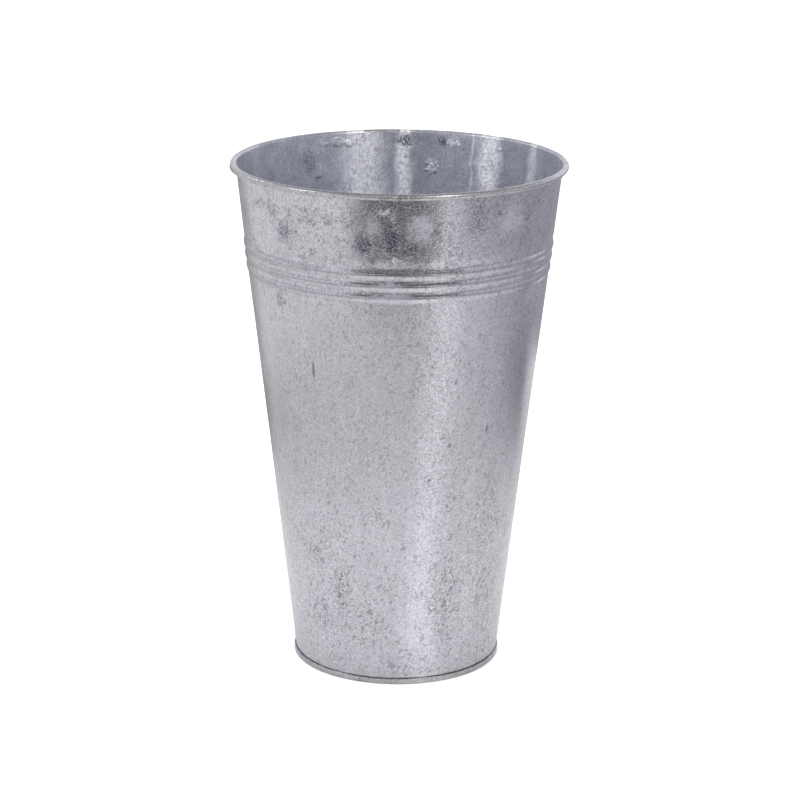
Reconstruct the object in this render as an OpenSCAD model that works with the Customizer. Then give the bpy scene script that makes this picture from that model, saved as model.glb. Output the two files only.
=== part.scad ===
// Tall galvanised florist bucket: a tapered sheet wall with a wired rim, three pressed
// ribs and a folded side seam, double seamed to a recessed bottom pan.
// Millimetres. +Z is up, the bucket stands on z = 0 and its axis is the Z axis.

/* [Bucket] */
// Height from the ground to the top of the rim
height = 340; // [250:5:420]
// Outside diameter of the rolled rim
rim_d = 221.4; // [190:0.2:250]
// Outside diameter of the wall, carried straight down to the ground
base_d = 136.5; // [110:0.5:150]
// Thickness of the steel sheet
sheet = 0.5; // [0.4:0.05:0.7]

/* [Rim] */
// Diameter of the wire inside the rolled rim
wire_d = 3.1; // [2.5:0.1:4]
// Angle of the slot left between the curled edge and the wall
curl_slot = 45; // [30:5:60]

/* [Ribs] */
// Number of pressed ribs
rib_count = 3; // [1:1:5]
// Distance from the top of the rim to the middle of the highest rib
rib_drop = 53.4; // [30:0.2:120]
// Distance from one rib to the next
rib_pitch = 7.6; // [7.2:0.1:12]
// Width of one rib
rib_w = 7; // [4:0.5:7]
// How far a rib stands out from the wall
rib_h = 0.75; // [0.3:0.05:1.5]

/* [Foot] */
// Height of the double seam around the foot
foot_h = 3.9; // [3.5:0.1:6]
// Height of the underside of the bottom plate above the ground
recess = 6; // [5:0.5:12]
// Radius of the rounded edges that the bucket stands on
foot_round = 0.6; // [0.2:0.1:0.8]
// Width of the sealing bead in the corner of the bottom
seal_w = 2; // [1:0.25:4]

/* [Side seam] */
// Width of the folded side seam
seam_w = 7; // [4:0.5:10]
// How far the folded side seam stands out from the wall
seam_t = 1; // [0.6:0.1:1.5]
// Direction of the side seam, counter-clockwise from +X
seam_angle = 104; // [0:1:359]
// Width of the sealed groove on the inside of the side seam
groove_w = 1.2; // [0.8:0.1:2]

/* [Hidden] */

$fn = 120;

// Slack between two sheets that are folded together
gap = 0.03;
// Straight steps across one rib, and across one rounded corner
rib_steps = 10;
corner_steps = 5;

// The curl wraps the wire with one sheet of thickness, and its inner side is the wall
curl_in = wire_d / 2 + 0.05;
curl_out = curl_in + sheet;
curl_z = height - curl_out;
curl_r = rim_d / 2 - curl_out;

// The wall is a plain cone from the ground to the middle of the curl
base_r = base_d / 2;
taper = (curl_r - curl_out + sheet - base_r) / curl_z;

// Levels of the foot, from the ground up: pan web, then wall web, then both folded upright
wall_bottom = sheet + 2 * gap;
hook_top = foot_h - sheet - gap;
hook_r = wall_r(hook_top) + gap;
pan_hook_r = hook_r + sheet + gap;
foot_r = pan_hook_r + sheet;
plate_top = recess + sheet;

// The side seam ends clear of the foot's double seam and runs into the rolled rim
seam_bottom = foot_h + 0.4;
seam_top = curl_z - curl_out + 0.4;
// Depth of the groove inside the seam, and how far its filling stands proud of the sheet
groove_d = 0.4;
groove_crown = 0.1;
groove_bottom = plate_top + seal_w + 1;
groove_top = curl_z - curl_out - 1;

// Outside radius of the plain wall at a height
function wall_r(z) = base_r + taper * z;

// Height of the middle of a rib, counted from the lowest
function rib_mid(i) = height - rib_drop - (rib_count - 1 - i) * rib_pitch;

// How far one rib, and then all of them, push the sheet out at a height
function rib_wave(dz) = abs(dz) < rib_w / 2 ? rib_h * (1 + cos(360 * dz / rib_w)) / 2 : 0;
function rib_push(z, i = 0) = i < rib_count ? rib_wave(z - rib_mid(i)) + rib_push(z, i + 1) : 0;

// Heights between two levels at which the wall bends, from the bottom up
function bends(z0, z1) = concat(
    [z0],
    [for (i = [0 : rib_count - 1], s = [0 : rib_steps])
        rib_mid(i) - rib_w / 2 + s * rib_w / rib_steps],
    [z1]
);

// Points of a quarter circle or less about a centre
function arc(cx, cz, r, a0, a1) = [
    for (s = [0 : corner_steps])
        let (a = a0 + (a1 - a0) * s / corner_steps)
        [cx + r * cos(a), cz + r * sin(a)]
];

// Half section of a band that follows the wall, between two offsets from its outside
module wall_band(inner, outer, z0, z1) {
    levels = bends(z0, z1);
    last = len(levels) - 1;
    polygon(concat(
        [for (z = levels) [wall_r(z) + rib_push(z) + outer, z]],
        [for (k = [last : -1 : 0]) [wall_r(levels[k]) + rib_push(levels[k]) + inner, levels[k]]]
    ));
}

// Half section of the sheet curled round the wire, open where its edge meets the wall
module curl_section() {
    reach = 2 * curl_out;
    translate([curl_r, curl_z])
        difference() {
            circle(r = curl_out);
            circle(r = curl_in);
            polygon([[0, 0], [-reach, 0], [-reach, -reach * tan(curl_slot)]]);
        }
}

// Half section of the wall's lower edge, turned out and up for the double seam
module hook_section() {
    polygon([
        [wall_r(wall_bottom) - sheet, wall_bottom],
        [hook_r + sheet, wall_bottom],
        [hook_r + sheet, hook_top],
        [hook_r, hook_top],
        [hook_r, wall_bottom + sheet],
        [wall_r(wall_bottom + sheet) - sheet, wall_bottom + sheet]
    ]);
}

// A slice of a body of revolution, of one width, in the direction of the side seam
module seam_slice(width, z0, z1) {
    intersection() {
        rotate_extrude()
            children();
        rotate([0, 0, seam_angle])
            translate([base_r / 2, -width / 2, z0])
                cube([rim_d, width, z1 - z0]);
    }
}

module wall_sheet() {
    color([0.74, 0.75, 0.77])
        difference() {
            union() {
                rotate_extrude()
                    union() {
                        wall_band(-sheet, 0, wall_bottom, curl_z);
                        curl_section();
                        hook_section();
                    }
                seam_slice(seam_w, seam_bottom, seam_top)
                    wall_band(-sheet / 2, seam_t, seam_bottom, seam_top);
            }
            seam_slice(groove_w, groove_bottom, groove_top)
                wall_band(-3 * sheet, groove_d - sheet, groove_bottom, groove_top);
        }
}

module rim_wire() {
    color([0.55, 0.56, 0.58])
        rotate_extrude()
            translate([curl_r, curl_z])
                circle(d = wire_d);
}

module bottom_pan() {
    pan_out = -sheet - gap;
    pan_in = pan_out - sheet;
    inner_edge = wall_r(0) + pan_in + foot_round;
    color([0.70, 0.71, 0.73])
        rotate_extrude()
            polygon(concat(
                [[0, recess],
                 [wall_r(recess) + pan_in, recess]],
                arc(inner_edge, foot_round, foot_round, 180, 270),
                arc(foot_r - foot_round, foot_round, foot_round, 270, 360),
                [[foot_r, foot_h],
                 [pan_hook_r, foot_h],
                 [pan_hook_r, sheet],
                 [wall_r(sheet) + pan_out, sheet],
                 [wall_r(plate_top) + pan_out, plate_top],
                 [0, plate_top]]
            ));
}

module bottom_seal() {
    z0 = plate_top + gap;
    corner_r = wall_r(z0) - sheet - gap;
    cove = arc(corner_r - seal_w, z0 + seal_w, seal_w, -90, 0);
    color([0.80, 0.81, 0.82])
        rotate_extrude()
            polygon(concat(
                [for (p = cove) [p[0] + taper * (p[1] - z0) - gap, p[1]]],
                [[corner_r + taper * seal_w, z0 + seal_w],
                 [corner_r, z0]]
            ));
}

module side_seam_seal() {
    color([0.80, 0.81, 0.82])
        seam_slice(groove_w - 2 * gap, groove_bottom + gap, groove_top - gap)
            wall_band(-sheet - groove_crown, groove_d - sheet - gap, groove_bottom, groove_top);
}

wall_sheet();
rim_wire();
bottom_pan();
bottom_seal();
side_seam_seal();
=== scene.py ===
"""Looks of a tall galvanised florist bucket: fine sheet-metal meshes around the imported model.

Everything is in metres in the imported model's frame: the axis is Z, the ground is z = 0 and
the photographed front faces -Y. Directions around the bucket are degrees from +X.
"""

import math
from types import SimpleNamespace

import bmesh
import bpy
import numpy as np
from mathutils import Matrix, Vector, noise


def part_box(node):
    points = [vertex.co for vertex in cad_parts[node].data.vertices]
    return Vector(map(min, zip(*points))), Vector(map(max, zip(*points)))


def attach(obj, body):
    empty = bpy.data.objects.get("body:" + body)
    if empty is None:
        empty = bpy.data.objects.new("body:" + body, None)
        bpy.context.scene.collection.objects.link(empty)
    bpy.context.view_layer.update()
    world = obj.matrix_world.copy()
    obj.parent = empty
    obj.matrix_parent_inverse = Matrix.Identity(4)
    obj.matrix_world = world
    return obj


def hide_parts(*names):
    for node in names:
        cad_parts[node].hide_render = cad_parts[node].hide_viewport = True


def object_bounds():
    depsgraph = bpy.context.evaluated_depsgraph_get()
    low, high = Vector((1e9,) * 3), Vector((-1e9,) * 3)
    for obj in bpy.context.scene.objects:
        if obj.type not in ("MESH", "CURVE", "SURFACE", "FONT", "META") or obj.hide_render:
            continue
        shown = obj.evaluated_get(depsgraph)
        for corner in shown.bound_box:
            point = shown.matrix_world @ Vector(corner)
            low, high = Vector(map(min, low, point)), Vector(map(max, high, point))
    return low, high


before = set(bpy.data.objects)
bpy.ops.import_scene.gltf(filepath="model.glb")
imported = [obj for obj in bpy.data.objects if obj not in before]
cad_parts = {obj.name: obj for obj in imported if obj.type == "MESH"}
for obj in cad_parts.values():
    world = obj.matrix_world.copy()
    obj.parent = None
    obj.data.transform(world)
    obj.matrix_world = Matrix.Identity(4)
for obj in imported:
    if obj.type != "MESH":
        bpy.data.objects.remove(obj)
cad_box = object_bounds()

MM = 0.001

# ---------------------------------------------------------------- dimensions from the frame
RIM_R = (cad_box[1][0] - cad_box[0][0]) / 2
HEIGHT = cad_box[1][2]
WIRE_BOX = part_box("rim_wire")
WIRE_R = (WIRE_BOX[1].z - WIRE_BOX[0].z) / 2
FOOT_R = (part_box("bottom_pan")[1].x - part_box("bottom_pan")[0].x) / 2
PLATE_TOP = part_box("bottom_pan")[1].z

SHEET = 0.5 * MM
GAP = 0.03 * MM
CURL_OUT = WIRE_R + 0.05 * MM + SHEET
CURL_Z = HEIGHT - CURL_OUT
CURL_R = RIM_R - CURL_OUT
CURL_TURN = math.radians(315)

# The wall is a plain cone; its outside meets the inner side of the curl
BASE_R = FOOT_R - 1.45 * MM
TAPER = (CURL_R - CURL_OUT + SHEET - BASE_R) / CURL_Z

RIB_TOP_Z = HEIGHT - 53.4 * MM
RIB_PITCH = 7.6 * MM
RIB_W = 7.0 * MM
RIB_H = 0.75 * MM
RIB_COUNT = 3

# The pressing drew the sheet slightly in above the first rib; heights above its crest
DIP_TOP = 8.6 * MM
DIP_LOW = 3.9 * MM
DIP_END = 2.0 * MM
DIP_DEPTH = 0.25 * MM

FOOT_H = 3.9 * MM
HOOK_TOP = FOOT_H - SHEET - GAP
WALL_BOTTOM = SHEET + 2 * GAP

SEAM_AZ = 104.0
SEAM_W = 7.0 * MM
SEAM_T = 1.0 * MM
SEAM_BOTTOM = FOOT_H + 0.4 * MM
GROOVE_W = 1.2 * MM
GROOVE_D = 0.4 * MM
GROOVE_TOP = CURL_Z - CURL_OUT - 1 * MM


def smooth_step(x):
    """0 below 0, 1 above 1, and a smooth rise between them."""
    x = min(max(x, 0.0), 1.0)
    return x * x * (3 - 2 * x)


def bell(x, width):
    """A bump of height 1 and half width `width` at a third of its height."""
    return math.exp(-(x / width) ** 2)


def wall_r(z):
    """Outside radius of the plain cone at a height."""
    return BASE_R + TAPER * z


def rib_push(z):
    """How far the pressed ribs push the sheet out at a height."""
    push = 0.0
    for i in range(RIB_COUNT):
        dz = z - (RIB_TOP_Z - i * RIB_PITCH)
        if abs(dz) < RIB_W / 2:
            push += RIB_H * (1 + math.cos(2 * math.pi * dz / RIB_W)) / 2
    above = z - RIB_TOP_Z
    lean_in = min(max((DIP_TOP - above) / (DIP_TOP - DIP_LOW), 0.0), 1.0)
    return push - DIP_DEPTH * lean_in * smooth_step((above - DIP_END) / (DIP_LOW - DIP_END))


def angle_gap(a, b):
    """Signed degrees from direction b to direction a, from -180 to 180."""
    return (a - b + 180) % 360 - 180


# Soft swellings and dents of the sheet: direction, height, reach around, reach up, depth
DENTS = [
    (180, 275 * MM, 24, 30 * MM, 0.45 * MM),
    (-118, 205 * MM, 12, 22 * MM, -0.30 * MM),
    (-62, 130 * MM, 14, 30 * MM, -0.28 * MM),
    (-82, 310 * MM, 10, 12 * MM, -0.16 * MM),
    (-40, 250 * MM, 16, 18 * MM, 0.20 * MM),
    (35, 160 * MM, 18, 40 * MM, -0.35 * MM),
    (60, 300 * MM, 15, 20 * MM, 0.25 * MM),
    (150, 120 * MM, 16, 36 * MM, -0.35 * MM),
    (100, 210 * MM, 20, 30 * MM, 0.22 * MM),
]


def sheet_sway(az, z):
    """How far the hand-worked sheet stands off its true cone, in metres."""
    t = math.radians(az)
    level = z / HEIGHT
    sway = 0.16 * MM * level * math.sin(2 * t + 0.7)
    sway += 0.10 * MM * level * math.sin(3 * t - 1.1)
    p = Vector((math.cos(t) * 2.6, math.sin(t) * 2.6, z * 11))
    sway += 0.22 * MM * noise.noise(p)
    p = Vector((math.cos(t) * 7 + 5, math.sin(t) * 7, z * 38))
    sway += 0.09 * MM * noise.noise(p)
    for d_az, d_z, reach_az, reach_z, depth in DENTS:
        sway += depth * bell(angle_gap(az, d_az), reach_az) * bell(z - d_z, reach_z)
    held = smooth_step((z - 8 * MM) / (30 * MM)) * smooth_step((HEIGHT - z - 3 * MM) / (14 * MM))
    return sway * (0.25 + 0.75 * held)


# ---------------------------------------------------------------- mesh helpers
def arc_points(cx, cz, r, a0, a1, steps):
    """Points of an arc about (cx, cz), angles in degrees."""
    points = []
    for s in range(steps + 1):
        a = math.radians(a0 + (a1 - a0) * s / steps)
        points.append((cx + r * math.cos(a), cz + r * math.sin(a)))
    return points


def span(a, b, step):
    """Evenly spaced values from a up to b, b left out, about a step apart."""
    n = max(1, round(abs(b - a) / step))
    return [a + (b - a) * k / n for k in range(n)]


def thick_outline(path, thickness):
    """Closed outline of a folded sheet, from the path of its middle, with round edges.

    Returns (r, z, side): side is +1 on the path's left and -1 on its right.
    """
    pts = np.array(path)
    tangent = np.gradient(pts, axis=0)
    tangent /= np.linalg.norm(tangent, axis=1)[:, None]
    left = np.stack([-tangent[:, 1], tangent[:, 0]], axis=1)
    half = thickness / 2
    outline = [(p[0], p[1], 1) for p in pts + left * half]
    outline += [(*(pts[-1] + tangent[-1] * half * 0.8), 0)]
    outline += [(p[0], p[1], -1) for p in (pts - left * half)[::-1]]
    outline += [(*(pts[0] - tangent[0] * half * 0.8), 0)]
    return outline


def new_piece(name, verts, faces, material, replaces):
    """A mesh object on the root body, standing for the CAD nodes it replaces."""
    mesh = bpy.data.meshes.new(name)
    mesh.from_pydata([tuple(v) for v in verts], [], faces)
    mesh.validate()
    mesh.polygons.foreach_set("use_smooth", [True] * len(mesh.polygons))
    mesh.update()
    obj = bpy.data.objects.new(name, mesh)
    bpy.context.scene.collection.objects.link(obj)
    mesh.materials.append(material)
    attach(obj, "root")
    if replaces:
        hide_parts(*replaces)
    return obj


def lathe(outline, columns, place):
    """Verts and faces of a closed outline carried around the axis.

    columns are the directions; place(point, column) gives the vertex.
    """
    rows = len(outline)
    turns = len(columns)
    verts = [place(point, column) for column in columns for point in outline]
    faces = []
    for c in range(turns):
        d = (c + 1) % turns
        for k in range(rows):
            m = (k + 1) % rows
            faces.append((c * rows + k, d * rows + k, d * rows + m, c * rows + m))
    return verts, faces


def on_axis(r, az, z):
    """A point at a radius, a direction in degrees and a height."""
    t = math.radians(az)
    return (r * math.cos(t), r * math.sin(t), z)


# ---------------------------------------------------------------- materials
class Nodes:
    """Short calls for building a node tree."""

    def __init__(self, tree):
        self.tree = tree

    def add(self, kind, **settings):
        """A node with its settings made."""
        made = self.tree.nodes.new(kind)
        for key, value in settings.items():
            setattr(made, key, value)
        return made

    def feed(self, socket, value):
        """Links or sets one input."""
        if isinstance(value, bpy.types.NodeSocket):
            self.tree.links.new(value, socket)
        else:
            socket.default_value = value

    def drawn_out(self, vector, length, lean=0):
        """Coordinates whose features grow long along an axis that leans degrees from Z."""
        made = self.add("ShaderNodeMapping", vector_type="TEXTURE")
        self.feed(made.inputs["Vector"], vector)
        made.inputs["Scale"].default_value = (1, 1, length)
        made.inputs["Rotation"].default_value = (0, math.radians(lean), 0)
        return made.outputs["Vector"]

    def noise(self, vector, scale, detail=3.0, rough=0.55, distortion=0.0):
        """Fractal noise from 0 to 1, scale in features per metre."""
        made = self.add("ShaderNodeTexNoise")
        self.feed(made.inputs["Vector"], vector)
        made.inputs["Scale"].default_value = scale
        made.inputs["Detail"].default_value = detail
        made.inputs["Roughness"].default_value = rough
        made.inputs["Distortion"].default_value = distortion
        return made.outputs["Fac"]

    def cells(self, vector, scale):
        """Distance to the nearest edge between cells, scale in cells per metre."""
        made = self.add("ShaderNodeTexVoronoi", feature="DISTANCE_TO_EDGE")
        self.feed(made.inputs["Vector"], vector)
        made.inputs["Scale"].default_value = scale
        return made.outputs["Distance"]

    def math(self, operation, a, b=0.0, c=0.0):
        """One arithmetic step."""
        made = self.add("ShaderNodeMath", operation=operation)
        for socket, value in zip(made.inputs, (a, b, c)):
            self.feed(socket, value)
        return made.outputs[0]

    def vector(self, operation, *values):
        """One step of vector arithmetic; returns its node."""
        made = self.add("ShaderNodeVectorMath", operation=operation)
        for socket, value in zip(made.inputs, values):
            self.feed(socket, value)
        return made

    def band(self, value, low, high, out_low=0.0, out_high=1.0):
        """Maps low..high smoothly onto out_low..out_high, and holds both ends."""
        made = self.add("ShaderNodeMapRange", interpolation_type="SMOOTHSTEP")
        self.feed(made.inputs["Value"], value)
        made.inputs["From Min"].default_value = low
        made.inputs["From Max"].default_value = high
        made.inputs["To Min"].default_value = out_low
        made.inputs["To Max"].default_value = out_high
        return made.outputs["Result"]

    def blend(self, share, first, second):
        """Mixes two colours."""
        made = self.add("ShaderNodeMix", data_type="RGBA")
        self.feed(made.inputs["Factor"], share)
        for socket, value in ((made.inputs["A"], first), (made.inputs["B"], second)):
            self.feed(socket, value if isinstance(value, bpy.types.NodeSocket) else (*value, 1.0))
        return made.outputs["Result"]

    def bump(self, height, depth):
        """Surface relief: height from 0 to 1 stands for depth metres."""
        made = self.add("ShaderNodeBump")
        self.feed(made.inputs["Height"], height)
        made.inputs["Strength"].default_value = 1.0
        made.inputs["Distance"].default_value = depth
        return made.outputs["Normal"]

    def total(self, *terms):
        """Sum of (value, weight) pairs."""
        result = 0.0
        for value, weight in terms:
            result = self.math("MULTIPLY_ADD", value, weight, result)
        return result

    def largest(self, first, *others):
        """The greatest of its values."""
        for value in others:
            first = self.math("MAXIMUM", first, value)
        return first

    def faded(self, mask, change):
        """1 where a mask is 0, and 1 + change where it is 1."""
        return self.math("MULTIPLY_ADD", mask, change, 1.0)

    def away(self, value, middle):
        """Distance of a value from the middle given."""
        return self.math("ABSOLUTE", self.math("SUBTRACT", value, middle))

    def product(self, first, *others):
        """Product of all its values."""
        for value in others:
            first = self.math("MULTIPLY", first, value)
        return first

    def axes(self, vector):
        """The three parts of a vector."""
        made = self.add("ShaderNodeSeparateXYZ")
        self.feed(made.inputs[0], vector)
        return made.outputs[0], made.outputs[1], made.outputs[2]

    def bearing(self, x, y):
        """Degrees around the bucket from the photographed front, positive towards +X."""
        turn = self.math("ARCTAN2", x, self.math("MULTIPLY", y, -1.0))
        return self.math("MULTIPLY", turn, 180 / math.pi)


class Surface(Nodes):
    """A material with a Principled shader."""

    def __init__(self, name):
        self.material = bpy.data.materials.new(name)
        self.material.use_nodes = True
        super().__init__(self.material.node_tree)
        self.shader = self.tree.nodes["Principled BSDF"]
        self.place = self.add("ShaderNodeTexCoord").outputs["Object"]


# Colours of the zinc, of its marks and of the wire
ZINC = (0.600, 0.592, 0.642)
ZINC_DARK = (0.150, 0.155, 0.208)
PIT = (0.045, 0.048, 0.090)
FLECK = (0.185, 0.182, 0.202)
OXIDE = (0.300, 0.325, 0.410)
PATINA = (0.460, 0.490, 0.585)
CHALK = (0.460, 0.460, 0.475)
# Near-white of the painted highlights on the inside
HIGHLIGHT_WHITE = (0.930, 0.930, 0.960)
# Warmer tone of the rolled rim: partly its own metal, partly a painted reflection of darker
# surroundings
RIM_METAL_AND_REFLECTION_TONE = (0.475, 0.465, 0.470)
PAN_TINT = (0.520, 0.505, 0.520)
SEAM_LOW = (0.470, 0.470, 0.500)
SEAM_HIGH = (0.680, 0.680, 0.710)
WIRE_LOW = (0.360, 0.360, 0.380)
WIRE_HIGH = (0.520, 0.520, 0.550)

# Dull bluish bloom: direction, height, half width, half height, strength
BLOOM_SPOTS = [
    (-82.8, 317 * MM, 9.0 * MM, 10.0 * MM, 0.62),
    (-98.8, 318 * MM, 5.0 * MM, 7.5 * MM, 0.36),
    (-70.0, 325 * MM, 7.0 * MM, 9.0 * MM, 0.25),
    (-94.0, 279.0 * MM, 11.0 * MM, 3.6 * MM, 0.60),
    (-92.5, 271.5 * MM, 15.0 * MM, 3.6 * MM, 0.60),
    (-47.0, 318 * MM, 12.0 * MM, 11.0 * MM, 0.45),
    (-133.0, 55 * MM, 7.0 * MM, 7.0 * MM, 0.5),
]
# Dark crusted patches, which at the front above the ribs also paint part of the dark reflection
# there: direction, height, half width, half height, strength
CRUST_AND_DARK_REFLECTION_SPOTS = [
    (-134.5, 308 * MM, 7.5 * MM, 9.0 * MM, 0.70),
    (-127.0, 318 * MM, 3.5 * MM, 4.0 * MM, 0.45),
    (-121.5, 298 * MM, 3.5 * MM, 3.0 * MM, 0.5),
    (-62.0, 321 * MM, 9.0 * MM, 17.0 * MM, 0.50),
    (-93.0, 311 * MM, 7.0 * MM, 13.0 * MM, 1.0),
    (-96.0, 326 * MM, 10.0 * MM, 6.0 * MM, 0.6),
    (-102.5, 306 * MM, 8.0 * MM, 7.0 * MM, 0.9),
    (-86.5, 303 * MM, 7.0 * MM, 5.0 * MM, 0.8),
    (-76.5, 317 * MM, 2.2 * MM, 5.0 * MM, 0.8),
    (-88.0, 331 * MM, 26.0 * MM, 2.4 * MM, 0.6),
    (88.0, 333.0 * MM, 9.0 * MM, 5.5 * MM, 1.0),
    (73.4, 332.5 * MM, 4.5 * MM, 4.0 * MM, 1.0),
    (126.5, 322 * MM, 7.0 * MM, 13.0 * MM, 0.6),
    (-140.0, 262 * MM, 5.0 * MM, 8.0 * MM, 0.5),
]
# Crowds of flecks: direction, height, half width, half height, strength
CROWDS = [
    (-118.5, 62 * MM, 9.0 * MM, 24.0 * MM, 1.0),
    (-133.0, 88 * MM, 9.0 * MM, 12.0 * MM, 0.9),
    (-131.0, 43 * MM, 12.0 * MM, 14.0 * MM, 0.9),
    (-106.0, 42 * MM, 18.0 * MM, 20.0 * MM, 0.6),
    (-66.0, 60 * MM, 14.0 * MM, 40.0 * MM, 0.8),
    (-45.0, 120 * MM, 16.0 * MM, 40.0 * MM, 0.6),
    (-38.0, 60 * MM, 14.0 * MM, 40.0 * MM, 0.6),
]
# Chalky white oxide: direction, height, half width, half height, strength
CHALK_SPOTS = [
    (-95.0, 328.0 * MM, 7.0 * MM, 2.6 * MM, 0.85),
    (-92.2, 323.0 * MM, 2.0 * MM, 3.0 * MM, 0.7),
    (-90.6, 296.8 * MM, 4.2 * MM, 1.5 * MM, 1.0),
    (-86.0, 295.2 * MM, 6.0 * MM, 0.6 * MM, 0.8),
    (77.8, 315.5 * MM, 4.4 * MM, 5.0 * MM, 0.8),
    (69.4, 332.5 * MM, 6.0 * MM, 3.2 * MM, 0.8),
]
# Painted highlights on the blister, and on and beside the drops near the top of the inside:
# direction, height, half width, half height, strength
HIGHLIGHT_SPOTS = [
    (77.8, 315.5 * MM, 4.6 * MM, 5.4 * MM, 1.0),
    (69.4, 332.5 * MM, 6.0 * MM, 3.0 * MM, 0.9),
    (112.0, 333.0 * MM, 6.0 * MM, 4.0 * MM, 0.6),
    (100.0, 334.0 * MM, 5.0 * MM, 3.5 * MM, 0.6),
]
# Single dark ticks and slits: direction, height, half width, half height, strength
TICKS = [
    (-125.4, 218 * MM, 1.2 * MM, 10.5 * MM, 1.0),
    (-49.4, 177 * MM, 1.0 * MM, 4.2 * MM, 1.0),
    (-67.5, 170 * MM, 1.4 * MM, 2.0 * MM, 0.8),
    (-76.0, 147 * MM, 1.5 * MM, 1.6 * MM, 0.9),
    (-66.5, 213 * MM, 1.2 * MM, 1.8 * MM, 0.8),
    (-63.5, 132 * MM, 1.2 * MM, 2.6 * MM, 0.8),
    (-67.0, 127 * MM, 1.1 * MM, 2.2 * MM, 0.8),
    (122.5, 310 * MM, 4.4 * MM, 0.8 * MM, 1.0),
    (104.3, 333 * MM, 0.6 * MM, 3.8 * MM, 0.9),
]


def spots(n, vector, table):
    """Mask of the named patches of a table, with edges as ragged as the vector given."""
    result = 0.0
    for az, z, wide, tall, strength in table:
        off = n.vector("SUBTRACT", vector, on_axis(wall_r(z), az, z)).outputs["Vector"]
        shares = n.vector("MULTIPLY", off, (1 / wide, 1 / wide, 1 / tall)).outputs["Vector"]
        reach = n.vector("LENGTH", shares).outputs["Value"]
        result = n.largest(result, n.band(reach, 0.35, 1.25, strength, 0))
    return result


def inner_side(n):
    """1 on the surfaces that face the bucket's axis, 0 on those that face away from it."""
    normal = n.add("ShaderNodeTexCoord").outputs["Normal"]
    outwards = n.vector("MULTIPLY", n.place, (1 / RIM_R, 1 / RIM_R, 0)).outputs["Vector"]
    facing = n.vector("DOT_PRODUCT", normal, outwards).outputs["Value"]
    return n.band(facing, -0.15, 0.05, 1, 0)


def rib_crest_lines(n, height, patchy):
    """Thin dark lines along the crests of the ribs, fainter towards +X."""
    lines = 0.0
    for k in range(RIB_COUNT):
        crest = RIB_TOP_Z - k * RIB_PITCH
        lines = n.largest(lines, n.band(n.away(height, crest), 0.2 * MM, 0.7 * MM, 1, 0))
    x = n.axes(n.place)[0]
    return n.product(lines, n.band(patchy, 0.35, 0.55, 0.35, 1), n.band(x, 20 * MM, 60 * MM, 1, 0.2))


# Painted highlights, as bright runs down the inside: degrees from +Y towards +X, half width, strength
PAINTED_HIGHLIGHT_RUNS = [
    (-14.0, 10.0, 0.85),
    (1.6, 3.4, 0.9),
    (28.3, 0.7, 0.5),
    (35.8, 5.5, 1.0),
    (57.5, 3.0, 0.6),
    (150.0, 5.0, 0.7),
    (-120.0, 4.0, 0.7),
]


def inner_painted_highlights(n):
    """Mask of the painted highlights: bright flaky runs down the inside."""
    x, y, _ = n.axes(n.place)
    turn = n.math("MULTIPLY", n.math("ARCTAN2", x, y), 180 / math.pi)
    turn = n.math("ADD", turn, n.math("MULTIPLY_ADD", n.noise(n.place, 60, 2), 5.0, -2.5))
    result = 0.0
    for centre, half, strength in PAINTED_HIGHLIGHT_RUNS:
        run = n.band(n.away(turn, centre), 0.2 * half, 1.3 * half, strength, 0)
        result = n.largest(result, run)
    return result


# Features per metre of the layers of the zinc's surface, from the broadest to the finest
CLOUD = 17
MOTTLE = 75
STREAK = 210
LACE = 620
GRAIN = 640
TOOTH = 1350

# Patches shake sideways by half of this, which makes their edges ragged
RAGGED = 9 * MM
# Heights between which the wear near the foot fades out, and the wear above the ribs sets in
LOW_WEAR = (90 * MM, 180 * MM)
HIGH_WEAR = (272 * MM, 292 * MM)
# Bearing of the band of livelier grain to the right of the front, which paints the sparkle of the
# long highlight there
HIGHLIGHT_GRAIN_BEARING = 16
RELIEF = 0.20 * MM


def ragged(n):
    """Coordinates shaken by noise."""
    shake = n.add("ShaderNodeTexNoise")
    n.feed(shake.inputs["Vector"], n.place)
    shake.inputs["Scale"].default_value = 260
    shake.inputs["Detail"].default_value = 3
    back = n.vector("SUBTRACT", n.place, (RAGGED / 2, RAGGED / 2, RAGGED / 2)).outputs["Vector"]
    shaken = n.vector("MULTIPLY_ADD", shake.outputs["Color"], (RAGGED, RAGGED, RAGGED), back)
    return shaken.outputs["Vector"]


def add_layers(n, m):
    """The even layers of the zinc, which lie everywhere."""
    m.cloud = n.noise(n.place, CLOUD, 2)
    m.mottle = n.noise(n.place, MOTTLE, 4, 0.6, 0.4)
    m.streak = n.noise(n.drawn_out(n.place, 12), STREAK, 3, 0.6)
    m.lace = n.band(n.noise(n.place, LACE, 3, 0.75, 0.6), 0.47, 0.56)
    m.grain = n.noise(n.place, GRAIN, 2, 0.6)
    m.tooth = n.noise(n.place, TOOTH, 1, 0.6)


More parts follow.
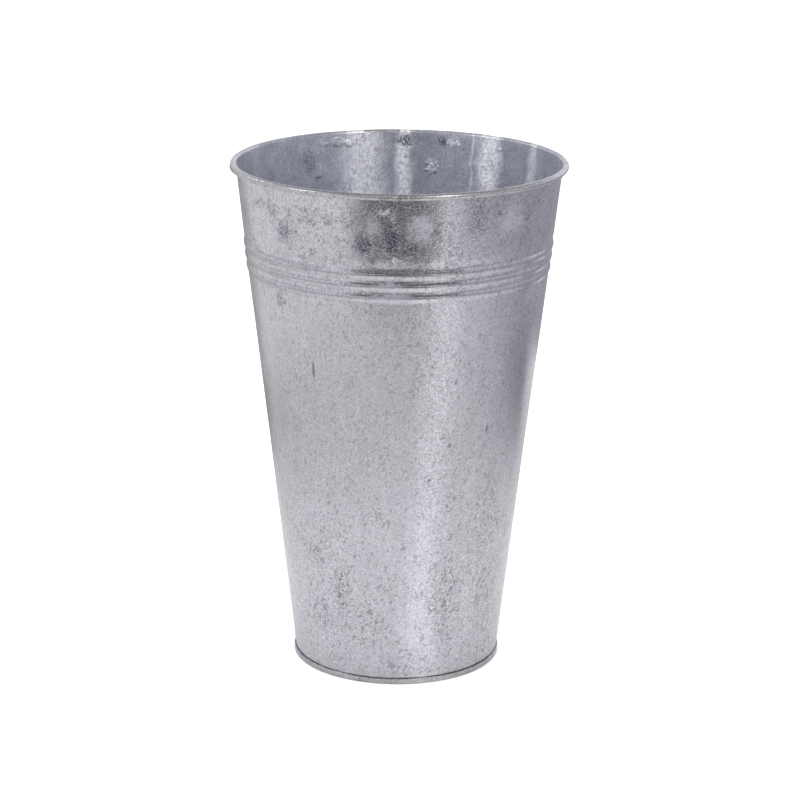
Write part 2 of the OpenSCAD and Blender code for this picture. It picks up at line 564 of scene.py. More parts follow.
def add_places(n, m, loose):
    """Parts of the bucket and named patches."""
    x, y, m.height = n.axes(n.place)
    m.inside = inner_side(n)
    m.low = n.band(m.height, *LOW_WEAR, 1, 0)
    m.high = n.band(m.height, *HIGH_WEAR)
    m.sides = n.band(n.away(x, -8 * MM), 12 * MM, 40 * MM)
    # painted highlight: livelier grain along the bearing of the long highlight
    m.column = n.product(
        n.band(n.away(n.bearing(x, y), HIGHLIGHT_GRAIN_BEARING), 2, 10, 1, 0),
        n.band(m.height, 90 * MM, 170 * MM, 0.25, 1))
    radius = n.math("SQRT", n.math("ADD", n.product(x, x), n.product(y, y)))
    m.rim = n.product(
        n.band(m.height, HEIGHT - 4.8 * MM, HEIGHT - 4.0 * MM),
        n.band(radius, CURL_R - 0.95 * CURL_OUT, CURL_R - 0.5 * CURL_OUT))
    # dark crusts; at the front above the ribs they also paint part of the dark reflection
    m.marks = spots(n, loose, CRUST_AND_DARK_REFLECTION_SPOTS)
    m.ticks = spots(n, n.place, TICKS)
    m.chalk = n.product(spots(n, loose, CHALK_SPOTS), m.lace)
    broad_bloom = n.band(n.noise(n.place, 30, 3, 0.5, 0.5), 0.58, 0.74, 0, 0.22)
    m.bloom = n.largest(broad_bloom, spots(n, loose, BLOOM_SPOTS))
    m.patchy = n.product(n.band(n.noise(n.place, 55, 3, 0.6, 0.8), 0.42, 0.62), m.inside)


def add_gleam(n, m, loose):
    """Painted highlights on the inside: bright flaky runs and spots; the runs fade out below the
    ribs.
    """
    flaky = n.band(n.noise(n.place, 430, 3, 0.7, 0.6), 0.40, 0.54, 0.40, 1)
    runs = n.product(inner_painted_highlights(n), flaky, n.band(m.height, 180 * MM, 300 * MM, 0.15, 1))
    bright = n.product(spots(n, loose, HIGHLIGHT_SPOTS), m.lace)
    m.gleam = n.product(n.largest(runs, bright), m.inside)


def add_flecks(n, m, loose):
    """Flecks, crusts and frost, which gather in crowds near the foot and above the ribs."""
    worn = n.largest(
        n.math("MULTIPLY", m.low, 0.45),
        n.math("MULTIPLY_ADD", m.high, 0.55, 0.35))
    crowd = n.band(n.noise(n.place, 52, 4, 0.65, 0.3), 0.46, 0.66)
    m.crowd = n.largest(n.product(crowd, worn), n.largest(m.marks, spots(n, loose, CROWDS)))
    crowded = n.math("MULTIPLY", m.crowd, 0.03)

    flakes = n.math("ADD", n.noise(n.drawn_out(n.place, 1.8, 26), 450, 2, 0.6), crowded)
    flakes = n.product(n.band(flakes, 0.592, 0.638), n.math("MULTIPLY_ADD", m.crowd, 0.40, 0.55))
    pits = n.math("ADD", n.noise(n.place, 900, 2, 0.7, 0.6), crowded)
    pits = n.product(n.band(pits, 0.555, 0.615), n.math("MULTIPLY_ADD", m.crowd, 0.45, 0.40))
    wisps = n.away(n.noise(n.place, 430, 3, 0.7, 0.8), 0.5)
    wisps = n.product(n.band(wisps, 0.010, 0.032, 1, 0), n.math("MULTIPLY_ADD", m.crowd, 0.60, 0.32))
    thinned = n.math("MULTIPLY_ADD", n.largest(m.low, m.high), 0.16, 0.84)
    m.flecks = n.product(n.largest(flakes, wisps, pits), thinned)

    crackle = n.product(n.band(n.cells(loose, 400), 0.06, 0.22, 1, 0), m.marks)
    m.crust = n.product(
        n.largest(n.band(m.grain, 0.48, 0.55), crackle),
        n.largest(m.marks, n.product(m.crowd, m.high)))
    m.speckle = n.product(n.band(n.noise(n.place, 1000, 2, 0.7), 0.51, 0.56), m.marks)
    m.frost = n.product(
        n.band(n.noise(n.place, 1250, 2, 0.7), 0.50, 0.58),
        n.total((m.crowd, 0.6), (m.marks, 1.1), (1.0, 0.1)))


def zinc_colour(n, m, tint):
    """Colour of the zinc: an uneven tint, with the marks, the painted highlights and the rim's partly
    painted reflection laid over it one by one.
    """
    # m.column paints the long highlight's sparkle into the grain
    lively = n.total(
        (n.product(m.low, m.sides), 0.45), (m.high, 0.35), (m.inside, 0.95), (m.marks, 0.80),
        (m.column, 0.75))
    fine = n.math("SUBTRACT", n.total((m.grain, 0.75), (m.tooth, 0.95)), 0.85)
    fine = n.product(fine, n.faded(m.bloom, -0.6), n.math("ADD", lively, 0.78))
    broad = n.total((m.cloud, 0.12), (m.mottle, 0.13), (m.streak, 0.22))
    lit = n.vector("SCALE", tint)
    n.feed(lit.inputs["Scale"], n.math("ADD", n.math("ADD", fine, broad), 0.79))

    base = lit.outputs["Vector"]
    for share, colour in (
            (n.math("MULTIPLY", m.inside, 0.50), PATINA),
            (n.math("MULTIPLY", m.patchy, 0.22), ZINC_DARK),
            # painted highlights on the inside
            (n.math("MULTIPLY", m.gleam, 0.95), HIGHLIGHT_WHITE),
            (n.math("MULTIPLY", m.bloom, 0.50), OXIDE),
            # rim tone, partly a painted reflection
            (n.math("MULTIPLY", m.rim, 0.70), RIM_METAL_AND_REFLECTION_TONE),
            # crusts and specks of the dark patches, which at the front above the ribs partly paint
            # the dark reflection
            (n.product(m.crust, n.math("MULTIPLY_ADD", m.marks, 0.55, 0.22)), ZINC_DARK),
            (n.product(m.flecks, n.math("MULTIPLY_ADD", m.inside, -0.35, 0.85)), FLECK),
            (n.math("MULTIPLY", rib_crest_lines(n, m.height, m.mottle), 0.50), FLECK),
            (n.math("MULTIPLY", m.speckle, 0.95), PIT),
            (n.math("MULTIPLY", m.ticks, 0.75), ZINC_DARK),
            (n.math("MULTIPLY", m.chalk, 0.60), CHALK)):
        base = n.blend(share, base, colour)
    return base


def zinc_roughness(n, m):
    """Smooth clean zinc, rougher under the marks."""
    rough = n.total(
        (m.cloud, 0.06), (m.mottle, 0.10), (m.grain, 0.06), (m.bloom, 0.25), (m.flecks, 0.10),
        (m.frost, 0.20), (m.rim, 0.05), (m.inside, 0.10))
    return n.largest(n.math("ADD", rough, 0.08), m.chalk)


def zinc_metallic(n, m):
    """Bare metal, less metallic where oxide covers it."""
    dull = n.total(
        (m.bloom, 0.35), (m.frost, 0.16), (m.chalk, 0.35), (m.inside, 0.18), (m.gleam, 0.45),
        (m.rim, 0.10))
    return n.math("SUBTRACT", 1.0, dull)


def zinc_relief(n, m):
    """Height of the unevenness, calmer on the rolled rim."""
    coarse = n.product(m.grain, n.math("MULTIPLY_ADD", m.crowd, 0.25, 0.19))
    teeth = n.product(m.tooth, n.math("MULTIPLY_ADD", m.marks, 0.14, 0.12))
    relief = n.total((m.mottle, 0.55), (m.patchy, 0.4), (coarse, 1.0), (teeth, 1.0), (m.chalk, 0.3))
    return n.product(relief, n.faded(m.rim, -0.6))


def galvanised(name, tint=ZINC):
    """Hot-dip zinc: sandy light grey metal with dull bloom, crusts, pits and dark flecks."""
    n = Surface(name)
    m = SimpleNamespace()
    loose = ragged(n)
    add_layers(n, m)
    add_places(n, m, loose)
    add_gleam(n, m, loose)
    add_flecks(n, m, loose)
    n.feed(n.shader.inputs["Base Color"], zinc_colour(n, m, tint))
    n.feed(n.shader.inputs["Roughness"], zinc_roughness(n, m))
    n.feed(n.shader.inputs["Metallic"], zinc_metallic(n, m))
    n.feed(n.shader.inputs["Normal"], n.bump(zinc_relief(n, m), RELIEF))
    return n.material


def seam_zinc(name):
    """Solidified zinc that filled a seam: brighter, smoother and lumpy."""
    n = Surface(name)
    lumps = n.noise(n.place, 260, 3, 0.55)
    grain = n.noise(n.place, 900, 2)
    shade = n.total((lumps, 0.7), (grain, 0.5))
    colour = n.blend(n.band(shade, 0.45, 0.8), SEAM_LOW, SEAM_HIGH)
    n.feed(n.shader.inputs["Base Color"], colour)
    n.feed(n.shader.inputs["Roughness"], n.math("MULTIPLY_ADD", lumps, 0.25, 0.20))
    n.shader.inputs["Metallic"].default_value = 1.0
    n.feed(n.shader.inputs["Normal"], n.bump(shade, 0.12 * MM))
    return n.material


def drawn_wire(name):
    """Zinc-coated drawn wire, with fine marks around the ring."""
    n = Surface(name)
    marks = n.noise(n.drawn_out(n.place, 0.08), 260, 3)
    n.feed(n.shader.inputs["Base Color"], n.blend(marks, WIRE_LOW, WIRE_HIGH))
    n.feed(n.shader.inputs["Roughness"], n.math("MULTIPLY_ADD", marks, 0.2, 0.30))
    n.shader.inputs["Metallic"].default_value = 1.0
    n.feed(n.shader.inputs["Normal"], n.bump(marks, 0.05 * MM))
    return n.material


SHEET_ZINC = galvanised("galvanised_sheet")
PAN_ZINC = galvanised("galvanised_pan", tint=PAN_TINT)
SEAM_ZINC = seam_zinc("seam_zinc")
STRIP_ZINC = galvanised("strip_zinc")
WIRE_ZINC = drawn_wire("wire")


# ---------------------------------------------------------------- wall sheet
def wall_path():
    """Middle of the wall sheet, from the tip of its foot hook up to the end of its curl."""
    hook_r = wall_r(HOOK_TOP) + GAP + SHEET / 2
    wall_mid = wall_r(WALL_BOTTOM) - SHEET / 2
    bend_r = (hook_r - wall_mid) / 2
    bend_z = WALL_BOTTOM + SHEET / 2 + bend_r
    ribs_low = RIB_TOP_Z - (RIB_COUNT - 1) * RIB_PITCH - RIB_W / 2 - 0.5 * MM
    ribs_high = RIB_TOP_Z + RIB_W / 2 + 0.5 * MM
    path = [(hook_r, z) for z in span(HOOK_TOP, bend_z, 0.8 * MM)]
    path += arc_points(hook_r - bend_r, bend_z, bend_r, 0, -180, 5)
    levels = span(bend_z + 1.2 * MM, ribs_low, 3.6 * MM)
    levels += span(ribs_low, ribs_high, 0.66 * MM)
    levels += span(ribs_high, ribs_high + 5 * MM, 1.2 * MM)
    levels += span(ribs_high + 5 * MM, CURL_Z - 0.6 * MM, 3.0 * MM)
    path += [(wall_r(z) + rib_push(z) - SHEET / 2, z) for z in levels]
    path += arc_points(CURL_R, CURL_Z, CURL_OUT - SHEET / 2, 180, 180 - math.degrees(CURL_TURN), 27)
    return path


# Offsets across the side seam at which the mesh has a column
SEAM_COLUMNS = [s * MM for s in (
    -4.8, -4.2, -3.85, -3.6, -3.42, -3.2, -2.7, -1.8, -1.0, -0.62, -0.5, 0.0,
    0.5, 0.62, 1.0, 1.6, 1.85, 2.1, 2.7, 3.2, 3.42, 3.6, 3.85, 4.2, 4.8)]
PLAIN_COLUMNS = 258


def wall_columns():
    """Columns around the wall: ('seam', offset) across the side seam, then ('turn', share)."""
    columns = [("seam", s) for s in SEAM_COLUMNS]
    columns += [("turn", (k + 1) / (PLAIN_COLUMNS + 1)) for k in range(PLAIN_COLUMNS)]
    return columns


def column_direction(column, z):
    """Direction in degrees of a column at a height, and its offset across the seam."""
    kind, value = column
    r = wall_r(min(z, CURL_Z))
    if kind == "seam":
        return SEAM_AZ + math.degrees(value / r), value
    edge = math.degrees(SEAM_COLUMNS[-1] / r)
    return SEAM_AZ + edge + value * (360 - 2 * edge), None


# The folded seam: a flat band with rounded edges, and a crease where its edge is tucked in
FOLD_FLAT = SEAM_W / 2 - 0.6 * MM
FOLD_ROUND = 0.7 * MM
CREASE_AT = 1.85 * MM
CREASE_W = 0.3 * MM
CREASE_D = 0.22 * MM


def fold_profile(s):
    """How far the folded seam stands out at an offset across it."""
    edge = (abs(s) - FOLD_FLAT) / FOLD_ROUND
    if edge >= 1:
        return 0.0
    raised = math.sqrt(1 - max(edge, 0.0) ** 2)
    return SEAM_T * raised - CREASE_D * bell(s - CREASE_AT, CREASE_W)


# The rim is pressed into a small lip on its left: direction, spread around, place on the bead
LIP_AZ = 186
LIP_SPREAD = 34
LIP_TURN = -34
LIP_TURN_SPREAD = 20
LIP_OUT = 0.95 * MM
# The bead stands out where it wraps the folded seam: half width and height
KNOT_W = 3.6 * MM
KNOT_OUT = 0.32 * MM


def rim_shift(point, az):
    """How far the rolled rim strays out and up: a pressed lip, and slow waves."""
    t = math.radians(az)
    turn = math.degrees(math.atan2(point[1] - CURL_Z, point[0] - CURL_R))
    lip = LIP_OUT * bell(turn - LIP_TURN, LIP_TURN_SPREAD) * bell(angle_gap(az, LIP_AZ), LIP_SPREAD)
    out = 0.10 * MM * noise.noise(Vector((math.cos(t) * 12, math.sin(t) * 12, 3)))
    up = 0.12 * MM * noise.noise(Vector((math.cos(t) * 9, math.sin(t) * 9, 8)))
    return out + lip * 0.8, up - lip * 0.6


def seam_shift(point, s, on_curl):
    """How far the side seam pushes a vertex out and up, at an offset across the seam."""
    r, z, side = point
    rise = smooth_step((z - SEAM_BOTTOM) / (1.6 * MM))
    if on_curl:
        away = bell(s, KNOT_W) * KNOT_OUT if side <= 0 else 0.0
        return away * (r - CURL_R) / CURL_OUT, away * (z - CURL_Z) / CURL_OUT
    if side == -1:
        return fold_profile(s) * rise, 0.0
    if side == 1 and PLATE_TOP < z < GROOVE_TOP and abs(s) < GROOVE_W / 2:
        return GROOVE_D * rise, 0.0
    return 0.0, 0.0


def wall_point(point, column):
    """A vertex of the wall: the plain section, plus the seam and the sheet's unevenness."""
    r, z, _ = point
    az, s = column_direction(column, z)
    on_curl = z > CURL_Z - CURL_OUT and math.hypot(r - CURL_R, z - CURL_Z) < CURL_OUT * 1.05
    r += sheet_sway(az, min(z, HEIGHT - 2 * CURL_OUT))
    if on_curl:
        out, up = rim_shift(point, az)
        r += out
        z += up
    if s is not None:
        out, up = seam_shift(point, s, on_curl)
        r += out
        z += up
    return on_axis(r, az, z)


def make_wall():
    """The whole sheet wall, with its curl, ribs, side seam and foot hook."""
    outline = thick_outline(wall_path(), SHEET)
    verts, faces = lathe(outline, wall_columns(), wall_point)
    return new_piece("wall", verts, faces, SHEET_ZINC, ["wall_sheet"])


# ---------------------------------------------------------------- bottom pan
EVEN_COLUMNS = [360 * k / 240 for k in range(240)]


def pan_path():
    """Middle of the pan's sheet, from the centre of its plate to the lip of its hook."""
    plate_z = PLATE_TOP - SHEET / 2
    corner = 1.0 * MM
    inset = 1.5 * SHEET + GAP
    chuck_top = wall_r(plate_z) - inset
    chuck_low = wall_r(0) - inset
    bend = 0.45 * MM
    lip_r = FOOT_R - SHEET / 2
    low = SHEET / 2
    path = [(r, plate_z) for r in span(0, chuck_top - corner, 4.5 * MM)]
    path += arc_points(chuck_top - corner, plate_z - corner, corner, 90, 0, 5)
    path += [(chuck_low + TAPER * z, z) for z in span(plate_z - 2 * corner, low + bend, 1.2 * MM)]
    path += arc_points(chuck_low + bend, low + bend, bend, 180, 270, 4)
    path += arc_points(lip_r - bend, low + bend, bend, 270, 360, 4)
    path += [(lip_r, z) for z in span(low + 2 * bend, FOOT_H, 0.6 * MM)[1:]]
    path += [(lip_r - 0.04 * MM, FOOT_H - 0.15 * MM)]
    return path


def pan_point(point, column):
    """A vertex of the pan, with the seaming roller's marks on its lip."""
    r, z, side = point
    t = math.radians(column)
    ring = Vector((math.cos(t) * 8, math.sin(t) * 8, 2))
    if r > FOOT_R - 1.2 * MM:
        r += 0.09 * MM * noise.noise(ring)
        z += 0.16 * MM * noise.noise(ring * 1.7) * smooth_step((z - 1.5 * MM) / (2 * MM))
    elif z > 3 * MM:
        swell = Vector((r * 30 * math.cos(t), r * 30 * math.sin(t), 1))
        z += 0.5 * MM * noise.noise(swell) * smooth_step((60 * MM - r) / (40 * MM))
    return on_axis(r, column, z)


def close_mesh(obj):
    """Joins the vertices that meet on the axis and turns all faces outwards."""
    bm = bmesh.new()
    bm.from_mesh(obj.data)
    bmesh.ops.remove_doubles(bm, verts=bm.verts, dist=1e-7)
    bmesh.ops.recalc_face_normals(bm, faces=bm.faces)
    bm.to_mesh(obj.data)
    bm.free()


def make_pan():
    """The recessed pan with the lip that it folds around the wall's foot."""
    outline = thick_outline(pan_path(), SHEET)[:-1]
    verts, faces = lathe(outline, EVEN_COLUMNS, pan_point)
    return new_piece("bottom_dish", verts, faces, PAN_ZINC, ["bottom_pan"])


# ---------------------------------------------------------------- zinc in the seams
def seal_point(point, column):
    """A vertex of the bottom's fillet, which runs thicker and thinner around the corner."""
    across, up, side = point
    t = math.radians(column)
    size = 2.0 * MM * (1 + 0.35 * noise.noise(Vector((math.cos(t) * 7, math.sin(t) * 7, 4))))
    z = PLATE_TOP + GAP + up * size
    r = wall_r(z) - SHEET - GAP + (across - 1) * size
    return on_axis(r, column, z)


def make_bottom_seal():
    """The hollow-faced fillet of zinc in the corner between the pan and the wall."""
    cove = arc_points(0, 1, 1, -90, 0, 9)
    outline = [(x, z, 0) for x, z in cove] + [(1.0, 0.5, 0), (1.0, 0.0, 0), (0.5, 0.0, 0)]
    verts, faces = lathe(outline, EVEN_COLUMNS, seal_point)
    return new_piece("bottom_fillet", verts, faces, SEAM_ZINC, ["bottom_seal"])


FILM_STEPS = 8


def seam_seal_ring(z, ends):
    """Section of the seam's zinc at a height: (offset across, radius); ends is 0 at its tips."""
    half = GROOVE_W / 2 - 0.04 * MM
    film = 0.8 * MM + 2.4 * MM * ends
    wall = wall_r(z) + rib_push(z) - SHEET
    core = wall + GROOVE_D - GAP
    ring = [(-half, core), (half, core), (half, wall + 0.05 * MM)]
    for k in range(FILM_STEPS + 1):
        share = 1 - 2 * k / FILM_STEPS
        lumpy = 1 + 0.8 * noise.noise(Vector((share, 4, z * 90)))
        proud = 0.045 * MM * ends * (1 - share * share) * lumpy
        ring.append((film * share, wall - proud + 0.01 * MM * abs(share)))
    ring.append((-half, wall + 0.05 * MM))
    return ring


def make_seam_seal():
    """The zinc in the groove inside the side seam: its core, and the thin film that spread."""
    low = PLATE_TOP + 3.2 * MM
    high = GROOVE_TOP - 0.1 * MM
    levels = span(low, high, 1.5 * MM) + [high]
    verts = []
    for z in levels:
        ends = smooth_step(min(z - low, high - z) / (6 * MM))
        for s, r in seam_seal_ring(z, ends):
            az = SEAM_AZ + math.degrees(s / r)
            verts.append(on_axis(r + sheet_sway(az, z), az, z))
    sides = len(verts) // len(levels)
    faces = []
    for k in range(len(levels) - 1):
        for i in range(sides):
            j = (i + 1) % sides
            a = k * sides
            faces.append((a + i, a + j, a + sides + j, a + sides + i))
    faces.append(tuple(range(sides))[::-1])
    faces.append(tuple((len(levels) - 1) * sides + i for i in range(sides)))
    return new_piece("side_seam_strip", verts, faces, STRIP_ZINC, ["side_seam_seal"])


# ---------------------------------------------------------------- runs and drops of zinc
# Direction, height, inside or outside, half width, half height, thickness
DROPS = [
    (113.6, 333.0 * MM, "in", 5.6 * MM, 3.6 * MM, 0.40 * MM),
    (109.4, 331.6 * MM, "in", 3.2 * MM, 3.2 * MM, 0.45 * MM),
    (118.5, 332.0 * MM, "in", 3.0 * MM, 2.2 * MM, 0.25 * MM),
    (77.8, 315.0 * MM, "in", 3.6 * MM, 4.2 * MM, 0.55 * MM),
    (76.6, 313.0 * MM, "in", 2.0 * MM, 2.4 * MM, 0.55 * MM),
    (79.4, 317.6 * MM, "in", 1.7 * MM, 1.5 * MM, 0.60 * MM),
    (76.2, 317.4 * MM, "in", 1.3 * MM, 1.6 * MM, 0.60 * MM),
    (79.9, 313.2 * MM, "in", 1.4 * MM, 1.3 * MM, 0.55 * MM),
    (78.0, 310.8 * MM, "in", 1.8 * MM, 1.2 * MM, 0.50 * MM),
    (75.3, 315.4 * MM, "in", 1.1 * MM, 1.3 * MM, 0.45 * MM),
    (77.6, 319.6 * MM, "in", 1.5 * MM, 1.0 * MM, 0.50 * MM),
    (-90.8, 296.8 * MM, "out", 3.4 * MM, 1.2 * MM, 0.30 * MM),
    (50.0, 331.5 * MM, "in", 2.6 * MM, 1.8 * MM, 0.25 * MM),
    (236.0, 322.0 * MM, "out", 2.0 * MM, 3.0 * MM, 0.25 * MM),
    (64.0, 120.0 * MM, "out", 2.2 * MM, 4.4 * MM, 0.30 * MM),
    (96.0, 60.0 * MM, "out", 2.0 * MM, 3.6 * MM, 0.35 * MM),
]
PIMPLES = 70


def add_drop(verts, faces, az, z, face, wide, tall, thick, seed):
    """One flattened drop of zinc that sits on the wall, slightly sunk into it."""
    rings, spokes = 7, 20
    inside = face == "in"
    first = len(verts)

    def put(u, v, lift):
        h = z + v
        r = wall_r(h) + rib_push(h) + sheet_sway(az, h)
        r = r - SHEET - lift if inside else r + lift
        verts.append(on_axis(r, az + math.degrees(u / r), h))

    put(0, 0, thick)
    for k in range(1, rings + 1):
        t = k / rings
        for i in range(spokes):
            a = 2 * math.pi * i / spokes
            across, up = math.cos(a), math.sin(a)
            edge = 1 + 0.30 * noise.noise(Vector((across * 1.4, up * 1.4, seed)))
            lumpy = 1 + 0.30 * noise.noise(Vector((t * 2.2 * across, t * 2.2 * up, seed + 5)))
            lift = thick * lumpy * math.sqrt(max(1 - t * t, 0)) - 0.06 * MM * t
            put(wide * t * edge * across, tall * t * edge * up, lift)
    put(0, 0, -0.12 * MM)
    last = len(verts) - 1
    for i in range(spokes):
        j = (i + 1) % spokes
        faces.append((first, first + 1 + i, first + 1 + j))
        for k in range(rings - 1):
            a = first + 1 + k * spokes
            faces.append((a + i, a + spokes + i, a + spokes + j, a + j))
        a = first + 1 + (rings - 1) * spokes
        faces.append((a + i, last, a + j))


def make_drops():
    """The runs that the photograph shows, and a scatter of small pimples."""
    rng = np.random.default_rng(11)
    verts, faces = [], []
    for k, (az, z, face, wide, tall, thick) in enumerate(DROPS):
        add_drop(verts, faces, az, z, face, wide, tall, thick, k * 3.7)
    for k in range(PIMPLES):
        az = rng.uniform(0, 360)
        z = rng.uniform(20, 325) * MM
        face = "in" if rng.random() < 0.45 else "out"
        size = rng.uniform(0.5, 1.1) * MM
        add_drop(verts, faces, az, z, face, size, size * rng.uniform(1, 1.8), size * 0.28, 60 + k)
    return new_piece("zinc_drops", verts, faces, SHEET_ZINC, [])


def on_rim(az, turn, lift):
    """A point over the rolled rim: turn is degrees around the bead, lift is metres above it."""
    a = math.radians(turn)
    out = CURL_OUT + lift
    r = CURL_R + out * math.cos(a) + sheet_sway(az, HEIGHT - 2 * CURL_OUT)
    return on_axis(r, az, CURL_Z + out * math.sin(a))


def make_rim_run():
    """A bright run of zinc along the top of the rim, from the side seam towards +X."""
    start, end = SEAM_AZ - 0.5, SEAM_AZ - 14.0
    inner, outer = 75, 175
    steps, across = 36, 9
    verts, faces = [], []
    for k in range(steps + 1):
        share = k / steps
        az = start + (end - start) * share
        thick = 0.26 * MM * math.sqrt(math.sin(math.pi * min(max(share, 0.02), 0.98)))
        thick *= 1 + 0.3 * noise.noise(Vector((share * 9, 2, 2)))
        for i in range(across + 1):
            lift = thick * math.sin(math.pi * i / across) - 0.03 * MM
            verts.append(on_rim(az, inner + (outer - inner) * i / across, lift))
        verts.append(on_rim(az, (inner + outer) / 2, -0.2 * MM))
    ring = across + 2
    for k in range(steps):
        for i in range(ring):
            j = (i + 1) % ring
            a = k * ring
            faces.append((a + i, a + ring + i, a + ring + j, a + j))
    faces.append(tuple(range(ring)))
    faces.append(tuple(steps * ring + i for i in range(ring))[::-1])
    return new_piece("rim_run", verts, faces, SEAM_ZINC, [])


pieces = [make_wall(), make_pan(), make_bottom_seal(), make_seam_seal(), make_drops(), make_rim_run()]
for piece in pieces:
    close_mesh(piece)
wire_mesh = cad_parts["rim_wire"].data
wire_mesh.materials.clear()
wire_mesh.materials.append(WIRE_ZINC)


# ---------------------------------------------------------------- studio
CAMERA_TARGET = Vector((0, 0, 0.519 * HEIGHT))
CAMERA_DISTANCE = 5.27 * HEIGHT
CAMERA_ELEVATION = math.radians(16.37)
CAMERA_ROLL = math.radians(0.44)
CAMERA_LENS = 120.24
CAMERA_SHIFT = 0.0027


def make_camera():
    """The camera at the photograph's place; its roll carries the bucket's slight lean."""
    data = bpy.data.cameras.new("camera")
    data.lens = CAMERA_LENS
    data.sensor_width = 36
    data.shift_x = CAMERA_SHIFT
    data.clip_end = 50
    camera = bpy.data.objects.new("camera", data)
    bpy.context.scene.collection.objects.link(camera)
    back = Vector((0, -math.cos(CAMERA_ELEVATION), math.sin(CAMERA_ELEVATION)))
    right = Vector((1, 0, 0))
    up = back.cross(right)
    turned_right = right * math.cos(CAMERA_ROLL) + up * math.sin(CAMERA_ROLL)
    turned_up = up * math.cos(CAMERA_ROLL) - right * math.sin(CAMERA_ROLL)
    turn = Matrix((turned_right, turned_up, back)).transposed().to_4x4()
    camera.matrix_world = Matrix.Translation(CAMERA_TARGET + back * CAMERA_DISTANCE) @ turn
    bpy.context.scene.camera = camera


def soft_box(name, bearing, elevation, distance, width, height, power):
    """An area light aimed at the bucket; bearing is degrees to the right of the camera."""
    data = bpy.data.lights.new(name, "AREA")
    data.shape = "RECTANGLE"
    data.size = width
    data.size_y = height
    data.energy = power
    light = bpy.data.objects.new(name, data)
    bpy.context.scene.collection.objects.link(light)
    b, e = math.radians(bearing), math.radians(elevation)
    away = Vector((math.sin(b) * math.cos(e), -math.cos(b) * math.cos(e), math.sin(e)))
    light.location = CAMERA_TARGET + away * distance
    light.rotation_euler = away.to_track_quat("Z", "Y").to_euler()
    light.visible_camera = False
    return light


def make_lights():
    """Weak soft boxes that only sharpen the highlights; the world gives most of the light."""
    soft_box("key", 33, 36, 1.7, 0.16, 0.8, 3)
    soft_box("left", -72, 34, 1.8, 0.30, 0.9, 3)
    soft_box("left_back", -118, 34, 1.8, 0.14, 0.8, 2)
    soft_box("front_strip", -2, 37, 2.3, 0.09, 0.7, 1.5)


def world_level(n):
    """Brightness of the studio as the metal mirrors it: dark front, dimmer sides and ceiling."""
    x, y, z = n.axes(n.add("ShaderNodeTexCoord").outputs["Generated"])
    bearing = n.bearing(x, y)
    front = n.product(n.band(n.away(bearing, 6), 39, 44, 1, 0), n.band(z, 0.20, 0.45, 1, 0))
    right = n.product(n.band(bearing, 40, 70), n.band(bearing, 105, 125, 1, -0.8))
    left = n.product(n.band(bearing, -160, -130), n.band(bearing, -65, -45, 1, 0))
    return n.product(
        n.faded(front, -0.85),
        n.faded(left, -0.25),
        n.faded(right, -0.30),
        n.band(z, 0.60, 0.90, 1.0, 0.70),
        n.band(z, 0.30, 0.60, 1.05, 0.50))


def make_world():
    """White for the camera and for diffuse light; a shaped studio for reflections."""
    world = bpy.data.worlds.new("studio")
    bpy.context.scene.world = world
    world.use_nodes = True
    world.node_tree.nodes.clear()
    n = Nodes(world.node_tree)
    shaped = n.add("ShaderNodeBackground")
    shaped.inputs["Color"].default_value = (0.80, 0.815, 0.865, 1)
    n.feed(shaped.inputs["Strength"], world_level(n))
    plain = n.add("ShaderNodeBackground")
    plain.inputs["Color"].default_value = (1, 1, 1, 1)
    plain.inputs["Strength"].default_value = 1.70
    mix = n.add("ShaderNodeMixShader")
    n.feed(mix.inputs["Fac"], n.add("ShaderNodeLightPath").outputs["Is Glossy Ray"])
    n.feed(mix.inputs[1], plain.outputs[0])
    n.feed(mix.inputs[2], shaped.outputs[0])
    n.feed(n.add("ShaderNodeOutputWorld").inputs["Surface"], mix.outputs[0])


FLOOR_HALF = 8.0
FLOOR_PALE = (0.93, 0.93, 0.93)


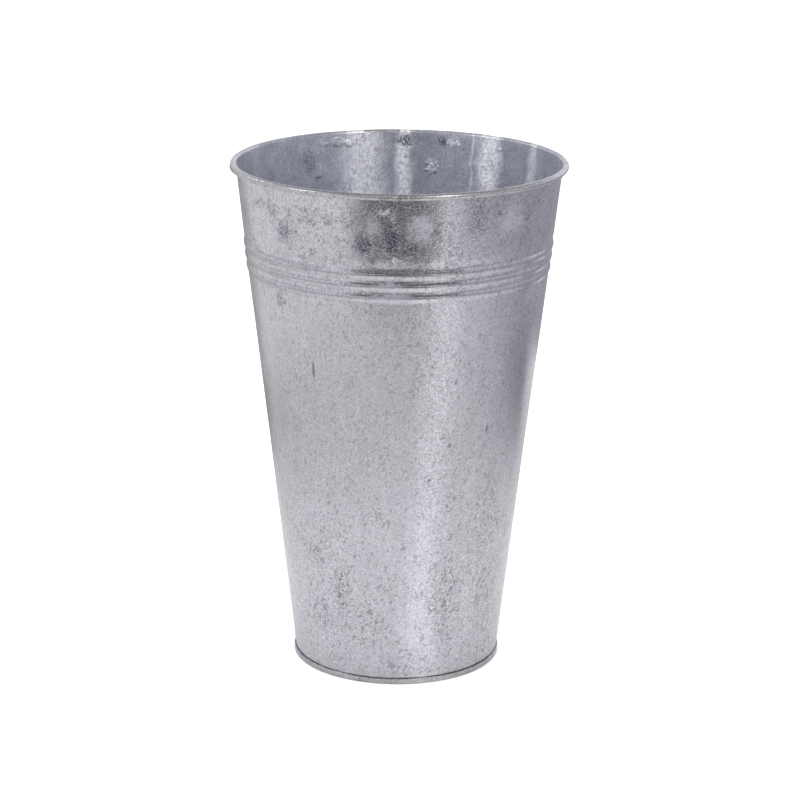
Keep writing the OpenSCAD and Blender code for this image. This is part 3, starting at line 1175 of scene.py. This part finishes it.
def floor_mirrored(n):
    """Colour of the floor as the metal mirrors it.

    The wall mirrors the floor at twice its own bearing. reach is the distance from the axis:
    the foot mirrors the near floor, and the sheet above the ribs mirrors the far floor.
    """
    x, y, _ = n.axes(n.place)
    reach = n.math("SQRT", n.math("ADD", n.product(x, x), n.product(y, y)))
    bearing = n.bearing(x, y)
    front = n.product(
        n.band(n.away(x, -0.03), 0.42, 0.47, 1, 0),
        n.band(y, -0.68, -0.62, 1, 0),
        n.band(y, -1.6, -1.1, 0.85, 1))

    # The right side is dark up to a sharp end, which lies further round on the far floor
    near_right = n.product(n.band(bearing, 40, 120), n.band(reach, 0.32, 0.58))
    far_right = n.product(n.band(bearing, 32, 44), n.band(reach, 0.66, 0.78))
    drawn_back = n.math("SUBTRACT", bearing, n.band(reach, 0.66, 0.76, 0, 38))
    right = n.product(n.largest(near_right, far_right), n.band(drawn_back, 123, 137, 1, 0))
    near_bearing = n.math("MULTIPLY_ADD", n.band(reach, 0.62, 0.70), -60, bearing)
    right_fade = n.band(near_bearing, 85, 118, -0.50, -0.62)

    # The left side is only a little darker, with a dark outline at its edge
    left = n.product(
        n.band(bearing, -120, -75, 1, 0),
        n.band(reach, 0.34, 0.48),
        n.band(reach, 0.56, 0.66, 1, 0))
    edge = n.product(n.band(bearing, -155, -122, 1, 0), n.band(reach, 0.38, 0.55))
    glance = n.band(bearing, -170, -148, 1.4, 0)

    # A pool of light right of the front gives the long highlight
    off_pool = n.math("SUBTRACT", bearing, n.math("MULTIPLY_ADD", reach, 40.0, 13.5))
    pool = n.product(n.band(n.away(off_pool, 0), 4, 19, 1, 0), n.band(reach, 0.60, 0.75, 1, 0))

    level = n.product(
        n.band(reach, 0.12, 0.45, 0.595, 0.408),
        n.band(reach, 0.50, 0.70, 1.0, 1.16),
        n.faded(right, right_fade),
        n.faded(front, -0.88),
        n.faded(left, -0.15),
        n.faded(n.largest(edge, glance), -0.55),
        n.faded(pool, 0.26))
    grey = n.add("ShaderNodeCombineXYZ")
    n.feed(grey.inputs[0], level)
    n.feed(grey.inputs[1], level)
    n.feed(grey.inputs[2], n.product(level, n.faded(right, 0.10)))
    return grey.outputs["Vector"]


def make_floor():
    """A plain pale floor, shaded only where the metal mirrors it."""
    corners = [(-FLOOR_HALF, -FLOOR_HALF, 0), (FLOOR_HALF, -FLOOR_HALF, 0),
               (FLOOR_HALF, FLOOR_HALF, 0), (-FLOOR_HALF, FLOOR_HALF, 0)]
    mesh = bpy.data.meshes.new("floor")
    mesh.from_pydata(corners, [], [(0, 1, 2, 3)])
    floor = bpy.data.objects.new("floor", mesh)
    bpy.context.scene.collection.objects.link(floor)
    n = Surface("floor")
    in_metal = n.add("ShaderNodeLightPath").outputs["Is Glossy Ray"]
    n.feed(n.shader.inputs["Base Color"], n.blend(in_metal, FLOOR_PALE, floor_mirrored(n)))
    n.shader.inputs["Roughness"].default_value = 0.9
    n.shader.inputs["Specular IOR Level"].default_value = 0.0
    mesh.materials.append(n.material)


make_camera()
make_lights()
make_world()
make_floor()
bpy.context.scene.view_settings.view_transform = "Standard"
